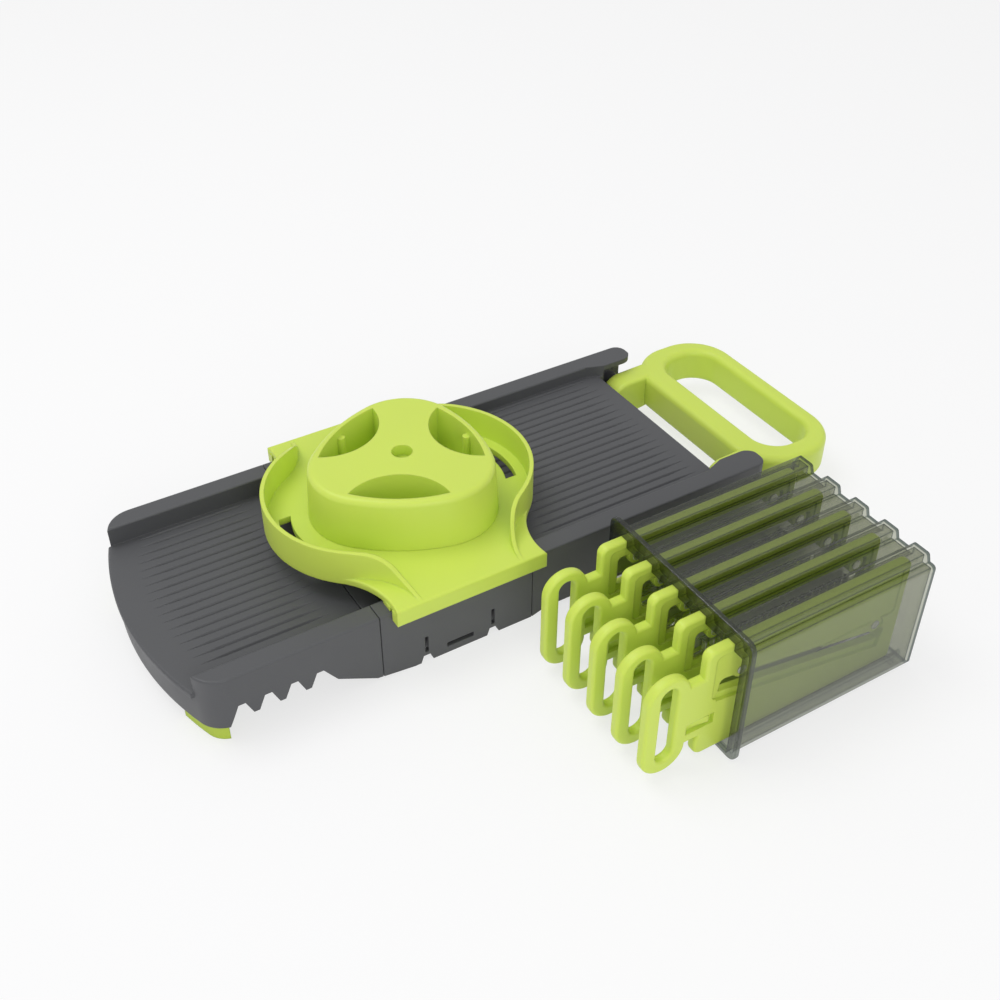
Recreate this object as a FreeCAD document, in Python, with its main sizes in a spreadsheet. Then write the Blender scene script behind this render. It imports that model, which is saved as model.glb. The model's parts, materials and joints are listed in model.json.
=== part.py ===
import FreeCAD, Part
import math
import os
import re
import Sketcher

# Frame: millimetres, +X towards the handle, +Y towards the far rail, +Z up, z = 0 on the table,
# origin at the middle of the seam between the front bed and the blade frame.

os.makedirs("parts", exist_ok=True)
doc = FreeCAD.newDocument("mandoline_slicer")

BODY_SIZES = {
    "rail_half": 65, "rail_inner": 54.7, "rail_top": 38, "skin": 2.6, "bed_thick": 3,
    "front_bed_top": 28, "rear_bed_top": 31.5, "rail_round": 0.9,
    "lip_reach": 93.6, "lip_radius": 162, "lip_round": 1.1, "skirt_inset": 1.3, "corner_radius": 14,
    "skirt_bottom": 10, "leg_back": 72.4,
    "notch_first": 66.1, "notch_pitch": 12.1, "notch_width": 3.2, "notch_top": 21,
    "tooth_width": 2.6, "tooth_tip": 13.7,
    "arch_front": 22, "arch_top": 12.3, "arch_back": 3, "arch_low": 2.4, "rise_run": 16, "rise_high": 3.84,
    "seam_gap": 0.4, "joint_wall": 2.6, "joint_tongue": 3, "joint_clear": 0.4,
    "rear_ledge": 8.3, "window_front": 9.5, "insert_seat": 24.6, "seat_ledge": 4,
    "tab_first": 22.4, "tab_back": 21.5, "tab_slit": 1.8, "tab_low": 2, "tab_high": 15.5,
    "tab_arch_half": 3.2, "tab_arch_high": 4,
    "tab_slot_half": 7, "tab_slot_low": 3.8, "tab_slot_high": 6.3,
    "bed_length": 118, "rear_arch_top": 2.5, "rear_arch_run": 8, "rear_leg_front": 81,
    "ear_inner": 51, "ear_ramp": 7, "ear_lead": 3, "ear_tail": 9, "ear_low": 8,
    "ear_round": 6, "ear_nose": 7,
    "groove_pitch": 5.45, "groove_width": 2, "groove_depth": 1.1, "groove_fade": 15,
    "groove_front": 11, "groove_back": 9, "groove_rise": 0.2,
    "screw_radius": 1.5, "screw_clear": 0.05, "screw_head": 2.8, "screw_head_high": 1.6,
    "screw_side": 42, "screw_level": 14, "screw_tip": 1.2,
}
FOOT_SIZES = {
    "foot_inset": 2.8, "foot_wall_y": 39, "foot_wall_x": 72.4, "foot_stem": 5, "foot_stem_in": 7,
}
HANDLE_SIZES = {
    "hinge_gap": 14, "hinge_level": 18,
    "pin_radius": 3, "pin_clear": 0.05, "pin_boss": 6.5, "pin_bite": 7, "pin_sink": 0.4,
    "lug_inner": 40, "lug_outer": 53, "lug_radius": 11, "lug_reach": 17, "lug_clear": 0.4, "lug_round": 2,
    "loop_gap": 10.5, "loop_length": 57, "loop_half": 61.5, "loop_radius": 25,
    "loop_low": 9.5, "loop_high": 29.5, "loop_round": 3.6,
    "bar_front": 14.5, "bar_back": 9.5, "grip_half": 49, "grip_radius": 14,
}
HOLDER_SIZES = {
    "holder_shift": 5, "slide_clear": 0.35, "flange_thick": 5.15, "flange_drop": 5, "runner_high": 1.5,
    "runner_margin": 2, "plate_thick": 3.5, "plate_round": 1, "bulge_radius": 50, "bulge_offset": 16.5,
    "neck_half": 38, "neck_inset": 6.5,
    "wall_thick": 2, "wall_end_half": 27, "wall_inset": 1, "rim_high": 14.5, "slope_start": 38,
    "rim_overshoot": 4, "vent_inner": 37.2, "vent_outer": 42.8, "vent_half": 14,
    "knob_shift": 2.4, "knob_side": 40.9, "knob_side_radius": 86.6, "knob_lobe_radius": 30,
    "knob_high": 26.5, "knob_draft": 3.4, "knob_round": 3, "knob_hole": 5, "knob_hole_deep": 6,
    "lens_half": 23, "lens_tip": 31.6, "lens_inner_radius": 26, "lens_outer_radius": 67, "lens_floor": 5,
    "lens_rib": 2, "lens_rib_out": 34.8, "lens_rib_drop": 4,
    "plunger_inset": 9, "plunger_clear": 0.5, "plunger_drop": 3.7, "spike_plate_thick": 2.4,
    "spike_radius": 0.9, "spike_point": 0.25, "spike_reach": 2.6, "spike_clear": 0.03,
    "spike_ring": 19, "spike_ring_inner": 10,
    "core_radius": 13, "core_boss": 5.5, "core_high": 19, "lobe_core": 8, "lobe_core_out": 27,
    "lobe_core_roof": 4, "pusher_screw": 1.6, "pusher_head": 3.4,
    "pusher_head_high": 1.2, "pusher_screw_long": 8,
}
CASE_SIZES = {
    "case_gap": 23.2, "case_front": 104, "case_wall": 1.4, "case_lift": 0.8, "case_end_gap": 5.4,
    "case_far": 7, "case_near": 9.4, "case_round": 2, "flange_far": 10, "flange_near": 13.4,
    "flange_sheet": 2.5, "flange_high": 69.3, "flange_corner": 5,
    "flange_round": 0.6, "ridge_high": 4, "ridge_flank": 1.6, "ridge_round": 1.3, "ridge_lead": 4,
    "floor_rib_high": 3, "floor_rib_thick": 1.2,
    "case_foot_in": 7.5, "case_foot_wide": 2.5, "case_foot_margin": 4,
}
INSERT_SIZES = {
    "insert_pitch": 18.4, "insert_thick": 5, "insert_clear": 0.5, "insert_high": 60.2, "insert_long": 112,
    "insert_out": 12.5, "insert_corner": 4, "insert_round": 1.5,
    "ring_gap": 6.5, "ring_wide": 22, "ring_low": 0.6, "ring_high": 54.8, "ring_bar_front": 7,
    "ring_bar_back": 6.8, "ring_bar_low": 6.5, "ring_bar_high": 5,
    "neck_low": 12, "neck_high": 46, "toe_reach": 1, "toe_high": 13, "toe_corner": 4.5, "neck_overlap": 4,
    "field_front": 5, "field_margin": 4, "field_deep": 0.8, "field_low": 31, "field_high": 56,
    "window_in": 9.5, "window_end": 6.5, "window_low": 34.5, "window_top": 51,
    "window_corner": 2.5, "ramp_drop": 3.5, "ramp_deep": 1.6,
    "latch_front": 7, "latch_back": 7.5, "latch_low": 17.2, "latch_high": 23.2, "latch_deep": 2,
    "tongue_gap": 1.2, "tongue_long": 11, "tongue_rise": 1.6,
    "blade_seat": 1, "blade_thick": 0.8, "blade_margin": 0.3, "blade_low": 38.5, "blade_high": 55,
    "seat_end": 3, "zigzag_pitch": 5, "zigzag_high": 2.8, "zigzag_low": 42,
    "zigzag_window_low": 38, "zigzag_window_top": 46, "zigzag_slant": 10.3, "zigzag_drop": 6.7,
    "grater_pitch": 8, "grater_rise": 6, "grater_hole": 2.3,
    "rivet_in": 19.8, "rivet_end": 13, "rivet_level": 48.5, "rivet_boss": 4.2,
    "rivet_radius": 1.5, "rivet_clear": 0.05, "rivet_head": 2.3, "rivet_head_high": 0.6,
    "comb_strip": 2, "comb_sheet": 0.8, "comb_fin": 0.7, "comb_fin_high": 8, "comb_reach": 2.6,
    "comb_set_back": 0.6, "comb_wide": 9, "comb_fine": 4.2,
}
SIZES = {**BODY_SIZES, **FOOT_SIZES, **HANDLE_SIZES, **HOLDER_SIZES, **CASE_SIZES, **INSERT_SIZES}

GROOVE_COUNT = 20
NOTCH_COUNT = 4
INSERT_COUNT = 5
ZIGZAG_INSERT = 5
GRATER_INSERT = 3
COMBS = {2: "comb_wide", 4: "comb_fine"}
LOBE_ANGLES = (0, 120, 240)
BEYOND = "20"
BITE = "1"

# Places worked out from the driving sizes.
LIP_X = "(lip_radius - lip_reach)"
CORNER_Y = "(rail_half - corner_radius)"
CORNER_REACH = "(lip_radius - skirt_inset - corner_radius)"
CORNER_X = f"({LIP_X} - sqrt({CORNER_REACH}^2 - {CORNER_Y}^2))"
RAIL_CORE_IN = "(rail_inner + skin)"
RAIL_CORE_OUT = "(rail_half - skin)"
WINDOW_BACK = "(window_front + insert_high + 2 * insert_clear)"
FRAME_END = f"({WINDOW_BACK} + rear_ledge)"
TAB_PLACES = ("tab_first", f"({FRAME_END} - tab_back)")
BED_END = f"({FRAME_END} + bed_length)"
HINGE_X = f"({BED_END} + hinge_gap)"
PLATE_LOW = "(rail_top + runner_high)"
PLATE_TOP = f"({PLATE_LOW} + plate_thick)"
HOLDER_HALF = "(rail_half + slide_clear + flange_thick)"
HOLDER_X = f"({FRAME_END} / 2 + holder_shift)"
KNOB_X = f"({HOLDER_X} + knob_shift)"
KNOB_TOP = f"({PLATE_TOP} + knob_high)"
PLUNGER_LOW = f"({PLATE_TOP} - plunger_drop)"
SPIKE_LOW = f"({PLUNGER_LOW} - spike_plate_thick)"
FIRST_INSERT = "(0 - rail_half - case_gap - flange_far)"
LAST_INSERT = f"({FIRST_INSERT} - {INSERT_COUNT - 1} * insert_pitch)"
CASE_FLOOR = "(case_lift + case_wall)"
INSERT_TOP = f"({CASE_FLOOR} + insert_high)"
SHOULDER = "(case_front - insert_out)"
INSERT_END = f"({SHOULDER} + insert_long)"
CASE_IN_BACK = f"({INSERT_END} + case_end_gap)"
CASE_BACK = f"({CASE_IN_BACK} + case_wall)"
RIDGE_TOP = f"({INSERT_TOP} + insert_clear + case_wall)"
ROOF_TOP = f"({RIDGE_TOP} - ridge_high)"
FACE = "(insert_thick / 2)"
BAY_HALF = "(insert_thick / 2 + insert_clear)"
SEAT = f"({FACE} - blade_seat)"
BLADE_OUT = f"({SEAT} + blade_thick)"
ACROSS = (f"(0 - rail_half - {BEYOND})", f"(rail_half + {BEYOND})")

sheet = doc.addObject("Spreadsheet::Sheet", "Sizes")


def fill_sheet():
    for row, (name, value) in enumerate(SIZES.items(), start=1):
        sheet.set(f"A{row}", name)
        sheet.set(f"B{row}", str(value))
        sheet.setAlias(f"B{row}", name)
    doc.recompute()


def full(expression):
    """The expression with every size name pointing at its cell."""
    return re.sub(r"[a-z_]+", lambda word: "Sizes." + word[0] if word[0] in SIZES else word[0], expression)


def number(expression):
    return float(sheet.evalExpression(full(expression)))


def bind(item, name, expression):
    item.setExpression(name, full(expression))


def left(radius):
    """A side that bends round a centre on its left."""
    return (1, radius)


def right(radius):
    """A side that bends round a centre on its right."""
    return (-1, radius)


def circle(x, y, radius):
    return ("circle", x, y, radius)


def box(x0, x1, y0, y1):
    return [(x0, y0, None), (x1, y0, None), (x1, y1, None), (x0, y1, None)]


def round_box(x0, x1, y0, y1, radius):
    """A rectangle whose four corners are arcs."""
    turn = left(radius)
    return [
        (f"{x0} + {radius}", y0, None), (f"{x1} - {radius}", y0, turn),
        (x1, f"{y0} + {radius}", None), (x1, f"{y1} - {radius}", turn),
        (f"{x1} - {radius}", y1, None), (f"{x0} + {radius}", y1, turn),
        (x0, f"{y1} - {radius}", None), (x0, f"{y0} + {radius}", turn),
    ]


def stadium(x0, x1, y0, y1):
    """An upright slot outline with half-round ends."""
    radius = f"(({x1}) - ({x0})) / 2"
    middle = f"(({x1}) + ({x0})) / 2"
    turn = left(radius)
    return [
        (x1, f"{y0} + {radius}", None), (x1, f"{y1} - {radius}", turn),
        (middle, y1, turn), (x0, f"{y1} - {radius}", None),
        (x0, f"{y0} + {radius}", turn), (middle, y0, turn),
    ]


def both_sides(path_of):
    """The same outline at +Y and at -Y."""
    return [path_of(1), path_of(-1)]


def side_box(x0, x1, inner, outer):
    return both_sides(lambda side: box(x0, x1, f"{side} * ({inner})", f"{side} * ({outer})"))


def pin_point(sketch, item, spot, x, y):
    for kind, value in (("DistanceX", x), ("DistanceY", y)):
        index = sketch.addConstraint(Sketcher.Constraint(kind, -1, 1, item, spot, number(value)))
        bind(sketch, f"Constraints[{index}]", value)


def bind_radius(sketch, item, radius):
    index = sketch.addConstraint(Sketcher.Constraint("Radius", item, number(radius)))
    bind(sketch, f"Constraints[{index}]", radius)


def arc_between(start, end, side, radius):
    chord = end - start
    middle = (start + end) * 0.5
    rise = math.sqrt(max(radius ** 2 - (chord.Length / 2) ** 2, 0))
    centre = middle + FreeCAD.Vector(-chord.y, chord.x, 0).normalize() * rise * side
    ends = (start, end) if side > 0 else (end, start)
    angles = [math.atan2(point.y - centre.y, point.x - centre.x) for point in ends]
    return Part.ArcOfCircle(Part.Circle(centre, FreeCAD.Vector(0, 0, 1), radius), *angles)


def draw_circle(sketch, x, y, radius):
    centre = FreeCAD.Vector(number(x), number(y), 0)
    item = sketch.addGeometry(Part.Circle(centre, FreeCAD.Vector(0, 0, 1), number(radius)))
    pin_point(sketch, item, 3, x, y)
    bind_radius(sketch, item, radius)


def draw_path(sketch, path):
    """Draw a closed outline of (x, y, bend of the side that follows)."""
    points = [FreeCAD.Vector(number(x), number(y), 0) for x, y, _ in path]
    spots = []
    for index, (x, y, bend) in enumerate(path):
        start = points[index]
        end = points[(index + 1) % len(points)]
        if bend is None:
            item = sketch.addGeometry(Part.LineSegment(start, end))
            spots.append((item, 1, 2))
        else:
            side, radius = bend
            item = sketch.addGeometry(arc_between(start, end, side, number(radius)))
            spots.append((item, 1, 2) if side > 0 else (item, 2, 1))
            bind_radius(sketch, item, radius)
        pin_point(sketch, item, spots[-1][1], x, y)
    for index, (item, begin, _) in enumerate(spots):
        before, _, finish = spots[index - 1]
        sketch.addConstraint(Sketcher.Constraint("Coincident", before, finish, item, begin))


def sketch_on(body, plane, level, paths):
    sketch = body.newObject("Sketcher::SketchObject", body.Name + "_outline")
    role = f"{plane}_Plane"
    face = [item for item in body.Origin.OriginFeatures if item.Role == role][0]
    sketch.AttachmentSupport = [(face, "")]
    sketch.MapMode = "FlatFace"
    bind(sketch, "AttachmentOffset.Base.z", level)
    for path in paths:
        if path[0] == "circle":
            draw_circle(sketch, *path[1:])
        else:
            draw_path(sketch, path)
    sketch.Visibility = False
    return sketch


def feature(kind, body, plane, low, high, paths):
    """A pad or pocket of the outlines from low to high along the plane's own axis."""
    level = f"0 - ({high})" if plane == "XZ" else low
    sketch = sketch_on(body, plane, level, paths)
    made = body.newObject(f"PartDesign::{kind}", f"{body.Name}_{kind.lower()}")
    made.Profile = sketch
    bind(made, "Length", f"({high}) - ({low})")
    return made


def grow(body, plane, low, high, *paths, draft=None):
    pad = feature("Pad", body, plane, low, high, paths)
    if draft:
        bind(pad, "TaperAngle", draft)


def carve(body, plane, low, high, *paths):
    pocket = feature("Pocket", body, plane, low, high, paths)
    pocket.Reversed = True


def new_body(label, y=None):
    body = doc.addObject("PartDesign::Body", label)
    body.Label = label
    body.AllowCompound = True
    if y is not None:
        bind(body, "Placement.Base.y", y)
    return body


def round_edges(body, radius, wanted):
    """Fillet the edges of the body's last shape that the test picks."""
    doc.recompute()
    base = body.Tip
    names = [f"Edge{place}" for place, edge in enumerate(base.Shape.Edges, start=1) if wanted(edge)]
    fillet = body.newObject("PartDesign::Fillet", f"{body.Name}_fillet")
    fillet.Base = (base, names)
    bind(fillet, "Radius", radius)


def near(value, target):
    return abs(value - target) < 1e-4


def flat_at(edge, axis, expression):
    """True where the whole edge lies at one place along the axis."""
    low = getattr(edge.BoundBox, axis + "Min")
    high = getattr(edge.BoundBox, axis + "Max")
    level = number(expression)
    return near(low, level) and near(high, level)


# Front bed, blade frame and rear bed.

def front_plan(inset, back):
    """The front moulding seen from above, moved in from its skin by inset."""
    half = f"(rail_half - {inset})"
    bow = f"(lip_radius - skirt_inset - {inset})"
    bow_x = f"{LIP_X} - {bow} * ({LIP_X} - {CORNER_X}) / {CORNER_REACH}"
    bow_y = f"({bow} * {CORNER_Y} / {CORNER_REACH})"
    turn = left(f"corner_radius - {inset}")
    return [
        (CORNER_X, f"0 - {half}", None), (back, f"0 - {half}", None), (back, half, None),
        (CORNER_X, half, turn), (bow_x, bow_y, left(bow)), (bow_x, f"0 - {bow_y}", turn),
    ]


def lip_plan():
    chord = f"({LIP_X} - sqrt(lip_radius^2 - rail_inner^2))"
    inside = f"{chord} + corner_radius"
    return [
        (inside, "0 - rail_inner", None), (inside, "rail_inner", None),
        (chord, "rail_inner", left("lip_radius")), (chord, "0 - rail_inner", None),
    ]


def skirt_gap():
    """What is cut from below the front side skirts: a leg, teeth and a rising arch."""
    path = [(f"0 - lip_reach - {BEYOND}", f"0 - {BEYOND}", None)]
    path.append((f"seam_gap + {BEYOND}", f"0 - {BEYOND}", None))
    path.append((f"seam_gap + {BEYOND}", "0", None))
    path.append(("0 - arch_back", "arch_low", None))
    path.append(("0 - arch_front", "arch_top", None))
    for count in reversed(range(NOTCH_COUNT)):
        middle = f"({count} * notch_pitch - notch_first)"
        path.append((f"{middle} + notch_width / 2", "notch_top", None))
        path.append((f"{middle} - notch_width / 2", "notch_top", None))
        if count:
            tooth = f"({middle} - notch_pitch / 2)"
            path.append((f"{tooth} + tooth_width / 2", "tooth_tip", None))
            path.append((f"{tooth} - tooth_width / 2", "tooth_tip", None))
    path.append(("0 - leg_back", "skirt_bottom", None))
    path.append((f"0 - lip_reach - {BEYOND}", "skirt_bottom", None))
    return path


def channel(floor):
    """The trough between the rails seen along X, with the rails' inner edges rounded."""
    brim = "(rail_inner + rail_round)"
    top = f"rail_top + {BEYOND}"
    turn = right("rail_round")
    return [
        ("0 - rail_inner", floor, None), ("rail_inner", floor, None),
        ("rail_inner", "rail_top - rail_round", turn),
        (brim, "rail_top", None), (brim, top, None), (f"0 - {brim}", top, None),
        (f"0 - {brim}", "rail_top", turn), ("0 - rail_inner", "rail_top - rail_round", None),
    ]


def screw_holes():
    return [circle(f"{side} * screw_side", "screw_level", "screw_radius + screw_clear") for side in (1, -1)]


def make_front_bed():
    body = new_body("front_bed_shell")
    back = "0 - seam_gap / 2"
    wall_back = "(0 - joint_tongue / 2)"
    wall_front = f"({wall_back} - joint_wall)"
    under = "front_bed_top - bed_thick"
    grow(body, "XY", "0", "rail_top", front_plan("0", back))
    round_edges(body, "rail_round",
                lambda edge: flat_at(edge, "Z", "rail_top") and edge.BoundBox.XLength > 0)
    grow(body, "XY", under, "front_bed_top", lip_plan())
    carve(body, "YZ", f"0 - lip_reach - {BEYOND}", BEYOND, channel("front_bed_top"))
    carve(body, "XY", "0", under, front_plan("skin", wall_front))
    carve(body, "XY", "0", under, box(wall_back, BEYOND, f"0 - {RAIL_CORE_OUT}", RAIL_CORE_OUT))
    carve(body, "XY", under, "rail_top - bed_thick",
          *side_box(CORNER_X, wall_front, RAIL_CORE_IN, RAIL_CORE_OUT))
    carve(body, "XZ", *ACROSS, skirt_gap())
    carve(body, "YZ", f"{wall_front} - {BITE}", f"{wall_back} + {BITE}", *screw_holes())
    round_edges(body, "lip_round", lambda edge: flat_at(edge, "Z", "front_bed_top")
                and near(edge.BoundBox.XMin, -number("lip_reach")))
    starts = [f"{LIP_X} - sqrt(lip_radius^2 - ({place})^2) + groove_front" for place in groove_rows()]
    return groove(body, "front_bed", "front_bed_top", starts, "0 - groove_back")


def groove_rows():
    return [f"({count} - {(GROOVE_COUNT - 1) / 2}) * groove_pitch" for count in range(GROOVE_COUNT)]


def groove_boat(start, end, y, top):
    """One long V-shaped cutter with pointed ends."""
    rise = number("groove_rise")
    fade = number("groove_fade")
    half = number("groove_width") / 2
    low = top - number("groove_depth")
    brim = top + rise
    nose = FreeCAD.Vector(start, y, brim)
    tail = FreeCAD.Vector(end, y, brim)
    keel = [FreeCAD.Vector(start + fade, y, low), FreeCAD.Vector(end - fade, y, low)]
    sides = {}
    for side in (-1, 1):
        sides[side] = [FreeCAD.Vector(point.x, y + side * half, brim) for point in keel]
    rings = [[nose, sides[-1][0], sides[-1][1], tail, sides[1][1], sides[1][0]]]
    for side in (-1, 1):
        rings.append([sides[side][0], sides[side][1], keel[1], keel[0]])
        rings.append([nose, sides[side][0], keel[0]])
        rings.append([tail, sides[side][1], keel[1]])
    faces = [Part.Face(Part.makePolygon(ring + ring[:1])) for ring in rings]
    solid = Part.Solid(Part.Shell(faces))
    solid.fix(1e-6, 1e-6, 1e-6)
    return solid


def groove(body, label, top, starts, end):
    """The body with a row of grooves cut in its plate."""
    tool = doc.addObject("Part::Feature", label + "_groove_tool")
    level = number(top)
    boats = []
    for start, row in zip(starts, groove_rows()):
        boats.append(groove_boat(number(start), number(end), number(row), level))
    tool.Shape = Part.makeCompound(boats)
    cut = doc.addObject("Part::Cut", label)
    cut.Label = label
    cut.Base = body
    cut.Tool = tool
    return cut


def make_blade_frame():
    body = new_body("blade_frame")
    front = "(seam_gap / 2)"
    back = f"({FRAME_END} - seam_gap / 2)"
    wall_half = f"({RAIL_CORE_OUT} - joint_clear)"
    slot_top = "insert_seat + insert_thick + insert_clear"
    grow(body, "XY", "0", "rail_top", box(front, back, "0 - rail_half", "rail_half"))
    round_edges(body, "rail_round",
                lambda edge: flat_at(edge, "Z", "rail_top") and edge.BoundBox.XLength > 1)
    grow(body, "XY", "0", "front_bed_top - bed_thick - joint_clear",
         box("0 - joint_tongue / 2", "joint_tongue / 2", f"0 - {wall_half}", wall_half))
    carve(body, "YZ", f"0 - {BEYOND}", WINDOW_BACK, channel("front_bed_top"))
    carve(body, "YZ", "window_front", f"{FRAME_END} + {BEYOND}", channel("rear_bed_top"))
    carve(body, "XY", "insert_seat", f"rail_top + {BEYOND}",
          box("window_front", WINDOW_BACK, "0 - rail_inner", "rail_inner"))
    carve(body, "XY", "0", f"insert_seat + {BITE}",
          box("window_front + seat_ledge", f"{WINDOW_BACK} - seat_ledge", "0 - rail_inner", "rail_inner"))
    carve(body, "XY", "0", "front_bed_top - bed_thick",
          box("joint_tongue / 2", "window_front - skin", f"0 - {RAIL_CORE_OUT}", RAIL_CORE_OUT))
    carve(body, "XY", "0", "rear_bed_top - bed_thick",
          box(f"{WINDOW_BACK} + skin", f"{back} - joint_wall", f"0 - {RAIL_CORE_OUT}", RAIL_CORE_OUT))
    carve(body, "XY", "0", "rail_top - bed_thick",
          *side_box("joint_tongue / 2", f"{back} - joint_wall", RAIL_CORE_IN, RAIL_CORE_OUT))
    carve(body, "XY", "insert_seat", slot_top,
          box("window_front", WINDOW_BACK, "0", f"rail_half + {BEYOND}"))
    carve(body, "XZ", *ACROSS, *tab_gaps())
    for side in ("+", "-"):
        carve(body, "XZ", *sorted_span(side, RAIL_CORE_OUT, f"rail_half + {BEYOND}"), seam_rise())
    carve(body, "YZ", "0 - joint_tongue", "joint_tongue", *screw_holes())
    carve(body, "YZ", f"{back} - joint_wall - {BITE}", f"{back} + {BITE}", *screw_holes())
    return body


def seam_rise():
    """The wedge cut from a side skirt so that it rises towards the seam."""
    return [("0 - rise_run", f"0 - {BEYOND}", None), ("rise_run", f"0 - {BEYOND}", None),
            ("rise_run", "0", None), ("0 - rise_run", "rise_high", None)]


def tab_gaps():
    """Cuts in the side skirts: two slits with arches and the slot of the tab between them."""
    middle = f"({TAB_PLACES[0]} + {TAB_PLACES[1]}) / 2"
    cuts = [box(f"{middle} - tab_slot_half", f"{middle} + tab_slot_half", "tab_slot_low", "tab_slot_high")]
    for place in TAB_PLACES:
        foot = (f"{place} - tab_arch_half", f"{place} + tab_arch_half")
        cuts.append(box(f"{place} - tab_slit / 2", f"{place} + tab_slit / 2",
                        "tab_arch_high + tab_low", "tab_high"))
        cuts.append([(foot[0], f"0 - {BEYOND}", None), (foot[1], f"0 - {BEYOND}", None),
                     (foot[1], "0", None), (f"{place} + tab_slit", "tab_arch_high", None),
                     (f"{place} - tab_slit", "tab_arch_high", None), (foot[0], "0", None)])
    return cuts


def rear_skirt_gap():
    """What is cut from below the rear side skirts: a low arch, a leg and the ears."""
    leg_front = f"({FRAME_END} + rear_leg_front)"
    tail = f"{HINGE_X} + ear_tail + {BEYOND}"
    return [
        (f"{FRAME_END} - {BEYOND}", f"0 - {BEYOND}", None), (tail, f"0 - {BEYOND}", None),
        (tail, "ear_low", None), (f"{BED_END} + ear_low", "ear_low", None), (BED_END, "0", None),
        (leg_front, "0", None), (f"{leg_front} - rear_arch_run", "rear_arch_top", None),
        (f"{FRAME_END} + rear_arch_run", "rear_arch_top", None), (FRAME_END, "0", None),
        (f"{FRAME_END} - {BEYOND}", "0", None),
    ]


def make_rear_bed():
    body = new_body("rear_bed_shell")
    front = f"({FRAME_END} + seam_gap / 2)"
    end = f"({HINGE_X} + ear_tail)"
    ear_start = f"({BED_END} + ear_lead)"
    ramp_start = f"({BED_END} - ear_ramp)"
    under = "(rear_bed_top - bed_thick)"
    grow(body, "XY", "0", "rail_top", round_ears(front, end))
    round_edges(body, "rail_round",
                lambda edge: flat_at(edge, "Z", "rail_top") and edge.BoundBox.XLength > 1)
    carve(body, "YZ", f"{FRAME_END} - {BEYOND}", ramp_start, channel("rear_bed_top"))
    carve(body, "XY", "rear_bed_top", f"rail_top + {BEYOND}",
          [(ramp_start, "0 - rail_inner", None), (ear_start, "0 - ear_inner", None),
           (ear_start, "ear_inner", None), (ramp_start, "rail_inner", None)])
    carve(body, "XY", "0", f"rail_top + {BEYOND}", between_ears(end))
    carve(body, "XY", "0", under,
          box(f"{front} + joint_wall", f"{end} + {BEYOND}", f"0 - {RAIL_CORE_OUT}", RAIL_CORE_OUT))
    carve(body, "XY", under, "rail_top - bed_thick",
          *side_box(f"{front} + joint_wall", BED_END, RAIL_CORE_IN, RAIL_CORE_OUT))
    carve(body, "XY", under, "rail_top - bed_thick",
          *side_box(ear_start, f"{end} + {BEYOND}", f"ear_inner - {BITE}", RAIL_CORE_OUT))
    carve(body, "XZ", *ACROSS, rear_skirt_gap())
    for side in ("+", "-"):
        low, high = sorted_span(side, "lug_outer + lug_clear", f"{RAIL_CORE_OUT} + {BITE}")
        grow(body, "XZ", low, high, circle(HINGE_X, "hinge_level", "pin_boss"))
    carve(body, "XZ", *ACROSS, circle(HINGE_X, "hinge_level", "pin_radius + pin_clear"))
    carve(body, "YZ", f"{front} - {BITE}", f"{front} + joint_wall + {BITE}", *screw_holes())
    starts = [f"{FRAME_END} + groove_back"] * GROOVE_COUNT
    return groove(body, "rear_bed", "rear_bed_top", starts, f"{BED_END} - groove_back / 2")


def round_ears(front, end):
    """The rear moulding seen from above, with its two tail corners rounded."""
    turn = left("ear_round")
    return [
        (front, "0 - rail_half", None), (f"{end} - ear_round", "0 - rail_half", turn),
        (end, "ear_round - rail_half", None), (end, "rail_half - ear_round", turn),
        (f"{end} - ear_round", "rail_half", None), (front, "rail_half", None),
    ]


def between_ears(end):
    """The gap between the ears seen from above; it widens round the nose of each ear."""
    far = f"({end} + {BEYOND})"
    wide = "(ear_inner + ear_nose)"
    turn = right("ear_nose")
    return [
        (BED_END, "0 - ear_inner", None), (f"{end} - ear_nose", "0 - ear_inner", turn),
        (end, f"0 - {wide}", None), (far, f"0 - {wide}", None), (far, wide, None), (end, wide, turn),
        (f"{end} - ear_nose", "ear_inner", None), (BED_END, "ear_inner", None),
    ]


def sorted_span(side, inner, outer):
    """Low and high ends of a span on one side of the middle plane."""
    if side == "+":
        return f"({inner})", f"({outer})"
    return f"(0 - ({outer}))", f"(0 - ({inner}))"


def make_front_feet():
    body = new_body("front_feet")
    reach = "(corner_radius - foot_inset)"
    edge = "(rail_half - foot_inset)"
    bow = "(lip_radius - skirt_inset - foot_inset)"
    bow_x = f"{LIP_X} - {bow} * ({LIP_X} - {CORNER_X}) / {CORNER_REACH}"
    bow_y = f"({bow} * {CORNER_Y} / {CORNER_REACH})"
    wall_x = f"{LIP_X} - sqrt({bow}^2 - foot_wall_y^2)"

    def plan(side):
        bend = left if side > 0 else right
        return [
            ("0 - foot_wall_x", f"{side} * foot_wall_y", None),
            ("0 - foot_wall_x", f"{side} * (sqrt({reach}^2 - ({CORNER_X} + foot_wall_x)^2) + {CORNER_Y})",
             bend(reach)),
            (bow_x, f"{side} * {bow_y}", bend(bow)), (wall_x, f"{side} * foot_wall_y", None),
        ]
    grow(body, "XY", "0", "skirt_bottom", *both_sides(plan))
    stem_x = f"{CORNER_X} - foot_stem / 2"
    stem_y = f"({edge} - foot_stem - foot_stem_in)"
    grow(body, "XY", f"skirt_bottom - {BITE}", "front_bed_top - bed_thick",
         circle(stem_x, stem_y, "foot_stem"), circle(stem_x, f"0 - {stem_y}", "foot_stem"))
    return body


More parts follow.
